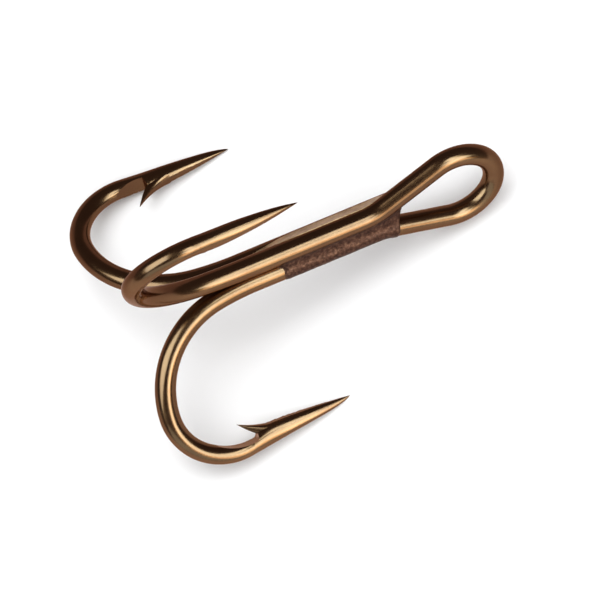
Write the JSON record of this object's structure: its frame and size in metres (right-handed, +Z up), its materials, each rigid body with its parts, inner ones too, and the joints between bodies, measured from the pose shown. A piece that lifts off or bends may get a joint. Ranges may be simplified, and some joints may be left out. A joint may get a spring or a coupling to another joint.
{
  "type": "treble fishing hook",
  "caption": "Treble hook: three barbed round-wire hooks brazed back to back along one shank that ends in a teardrop line eye.",
  "frame": {"origin": "middle of the outline seen from above, on the surface the hook rests on", "axes": "+X along the shank toward the eye, seen from above; +Z up, with one hook standing and the other two lying on the outer sides of their pointed legs"},
  "size_m": [0.0298, 0.022, 0.0194],
  "materials": {
    "bronzed_wire": "glossy bronze lacquer over steel wire",
    "braze": "matt, slightly rough brown braze"
  },
  "bodies": {
    "root": {"double_hook": "bronzed_wire", "single_hook": "bronzed_wire", "braze_core": "braze", "braze_front": "braze", "braze_side": "braze", "braze_back": "braze"}
  },
  "joints": []
}
